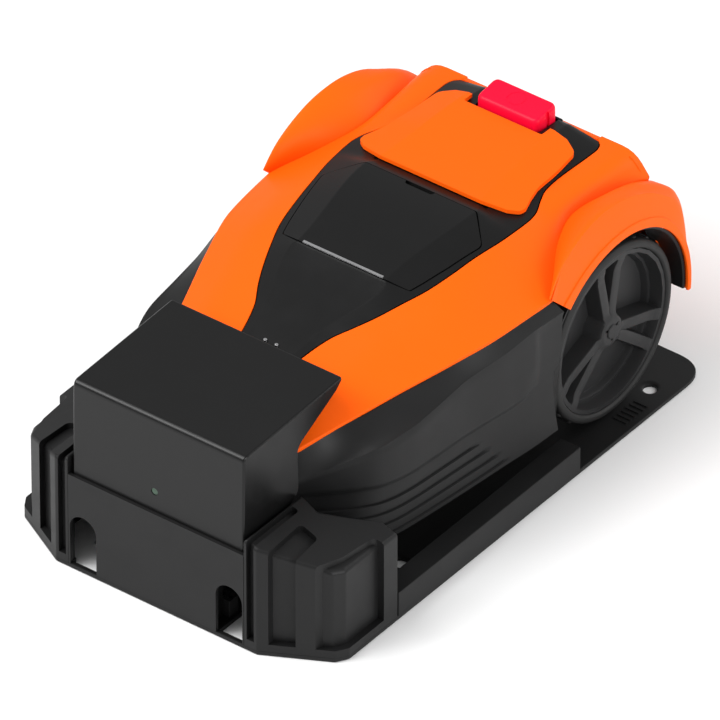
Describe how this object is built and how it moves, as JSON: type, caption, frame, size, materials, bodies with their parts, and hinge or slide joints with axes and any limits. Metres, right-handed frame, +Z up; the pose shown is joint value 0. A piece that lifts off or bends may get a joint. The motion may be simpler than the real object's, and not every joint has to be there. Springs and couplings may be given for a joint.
{
  "type": "robotic lawn mower",
  "caption": "Robotic lawn mower parked in its charging station: moulded covers over a chassis with drive wheels, swivel casters, a height-adjustable blade disc, hinged lids and a stop button.",
  "frame": {"origin": "on the ground under the middle of the charging station's floor plate", "axes": "+Y from the station's front to the mower's tail, +X to the mower's left-hand side as it faces the station, +Z up"},
  "size_m": [0.407, 0.6482, 0.2837],
  "materials": {
    "orange_plastic": "satin",
    "black_plastic": "fine grain",
    "black_gloss": "satin",
    "grey_plastic": "fine grain",
    "red_plastic": "satin",
    "tyre_rubber": "matte",
    "steel": "brushed",
    "copper": "plated",
    "board": "solder mask",
    "battery_wrap": "shrink wrap",
    "light_lens": "frosted",
    "screen": "clear"
  },
  "bodies": {
    "station": {"base_plate": "black_plastic", "guide_tower_left": "black_plastic", "guide_tower_right": "black_plastic", "hood": "black_gloss", "front_panel": "black_plastic", "contact_carrier": "black_plastic", "station_board": "board", "wire_terminals": "grey_plastic", "status_light": "light_lens", "wire_peg": "steel", "station_screws": "steel"},
    "contact_left": {"charge_contact_left": "copper"},
    "contact_right": {"charge_contact_right": "copper"},
    "mower": {"chassis_tub": "black_plastic", "chassis_cover": "grey_plastic", "skirt": "black_plastic", "orange_shell": "orange_plastic", "deck_panel": "black_gloss", "cushion_mounts": "tyre_rubber", "battery_pack": "battery_wrap", "main_board": "board", "gearmotor_left": "steel", "gearmotor_right": "steel", "charge_strips": "copper", "rain_pins": "steel", "control_panel": "grey_plastic", "display": "screen", "hinge_pins": "steel", "stop_switch": "grey_plastic", "cover_screws": "steel"},
    "key_start": {"key_start": "grey_plastic"},
    "key_home": {"key_home": "grey_plastic"},
    "key_up": {"key_up": "grey_plastic"},
    "key_down": {"key_down": "grey_plastic"},
    "power_switch": {"power_switch": "red_plastic"},
    "console_lid": {"console_lid": "orange_plastic"},
    "front_lid": {"front_lid": "black_gloss"},
    "stop_button": {"stop_button": "red_plastic"},
    "height_knob": {"height_knob": "grey_plastic"},
    "cutter": {"cutter_carriage": "grey_plastic", "cutter_motor": "steel"},
    "disc": {"blade_disc": "steel", "blade_screws": "steel"},
    "blade_a": {"blade_a": "steel"},
    "blade_b": {"blade_b": "steel"},
    "blade_c": {"blade_c": "steel"},
    "wheel_left": {"tyre_left": "tyre_rubber", "rim_left": "grey_plastic", "axle_left": "steel"},
    "wheel_right": {"tyre_right": "tyre_rubber", "rim_right": "grey_plastic", "axle_right": "steel"},
    "caster_left": {"caster_fork_left": "grey_plastic"},
    "caster_right": {"caster_fork_right": "grey_plastic"},
    "caster_wheel_left": {"caster_wheel_left": "tyre_rubber"},
    "caster_wheel_right": {"caster_wheel_right": "tyre_rubber"}
  },
  "joints": [
    {"name": "dock_slide", "type": "slide", "parent": "station", "child": "mower", "axis": [0, 1, 0], "range_m": [0, 0.65]},
    {"name": "contact_left_push", "type": "slide", "parent": "station", "child": "contact_left", "axis": [0, -1, 0], "range_m": [0, 0.004], "stiffness_N_per_m": 300},
    {"name": "contact_right_push", "type": "slide", "parent": "station", "child": "contact_right", "axis": [0, -1, 0], "range_m": [0, 0.004], "stiffness_N_per_m": 300},
    {"name": "wheel_left_spin", "type": "hinge", "parent": "mower", "child": "wheel_left", "pos_m": [0.155, 0.202, 0.1075], "axis": [1, 0, 0], "continuous": true},
    {"name": "caster_left_swivel", "type": "hinge", "parent": "mower", "child": "caster_left", "pos_m": [0.105, -0.134, 0.072], "axis": [0, 0, 1], "continuous": true},
    {"name": "caster_wheel_left_spin", "type": "hinge", "parent": "caster_left", "child": "caster_wheel_left", "pos_m": [0.105, -0.116, 0.0353], "axis": [1, 0, 0], "continuous": true},
    {"name": "wheel_right_spin", "type": "hinge", "parent": "mower", "child": "wheel_right", "pos_m": [-0.155, 0.202, 0.1075], "axis": [1, 0, 0], "continuous": true},
    {"name": "caster_right_swivel", "type": "hinge", "parent": "mower", "child": "caster_right", "pos_m": [-0.105, -0.134, 0.072], "axis": [0, 0, 1], "continuous": true},
    {"name": "caster_wheel_right_spin", "type": "hinge", "parent": "caster_right", "child": "caster_wheel_right", "pos_m": [-0.105, -0.116, 0.0353], "axis": [1, 0, 0], "continuous": true},
    {"name": "console_lid_hinge", "type": "hinge", "parent": "mower", "child": "console_lid", "pos_m": [0, 0.13, 0.2638], "axis": [1, 0, 0], "range_deg": [0, 70]},
    {"name": "front_lid_hinge", "type": "hinge", "parent": "mower", "child": "front_lid", "pos_m": [0, -0.015, 0.2482], "axis": [1, 0, 0], "range_deg": [0, 75]},
    {"name": "stop_press", "type": "slide", "parent": "mower", "child": "stop_button", "axis": [0, 0, -1], "range_m": [0, 0.005], "stiffness_N_per_m": 800},
    {"name": "key_start_press", "type": "slide", "parent": "mower", "child": "key_start", "axis": [0, 0, -1], "range_m": [0, 0.0012], "stiffness_N_per_m": 200},
    {"name": "key_home_press", "type": "slide", "parent": "mower", "child": "key_home", "axis": [0, 0, -1], "range_m": [0, 0.0012], "stiffness_N_per_m": 200},
    {"name": "key_up_press", "type": "slide", "parent": "mower", "child": "key_up", "axis": [0, 0, -1], "range_m": [0, 0.0012], "stiffness_N_per_m": 200},
    {"name": "key_down_press", "type": "slide", "parent": "mower", "child": "key_down", "axis": [0, 0, -1], "range_m": [0, 0.0012], "stiffness_N_per_m": 200},
    {"name": "power_rocker", "type": "hinge", "parent": "mower", "child": "power_switch", "pos_m": [0.05, 0.188, 0.2372], "axis": [1, 0, 0], "range_deg": [-16, 0]},
    {"name": "height_knob_turn", "type": "hinge", "parent": "mower", "child": "height_knob", "pos_m": [0, 0.046, 0.216], "axis": [0, 0, 1], "range_deg": [-120, 120]},
    {"name": "cutter_lift", "type": "slide", "parent": "mower", "child": "cutter", "axis": [0, 0, 1], "range_m": [-0.0178, 0.0178]},
    {"name": "disc_spin", "type": "hinge", "parent": "cutter", "child": "disc", "pos_m": [0, 0.046, 0.043], "axis": [0, 0, 1], "continuous": true},
    {"name": "blade_a_swing", "type": "hinge", "parent": "disc", "child": "blade_a", "pos_m": [0.077, 0.046, 0.0413], "axis": [0, 0, 1], "continuous": true},
    {"name": "blade_b_swing", "type": "hinge", "parent": "disc", "child": "blade_b", "pos_m": [-0.0385, 0.11268, 0.0413], "axis": [0, 0, 1], "continuous": true},
    {"name": "blade_c_swing", "type": "hinge", "parent": "disc", "child": "blade_c", "pos_m": [-0.0385, -0.02068, 0.0413], "axis": [0, 0, 1], "continuous": true}
  ],
  "couplings": [
    {"joint": "height_knob_turn", "follows": "cutter_lift", "rad_per_m": 117.64}
  ]
}
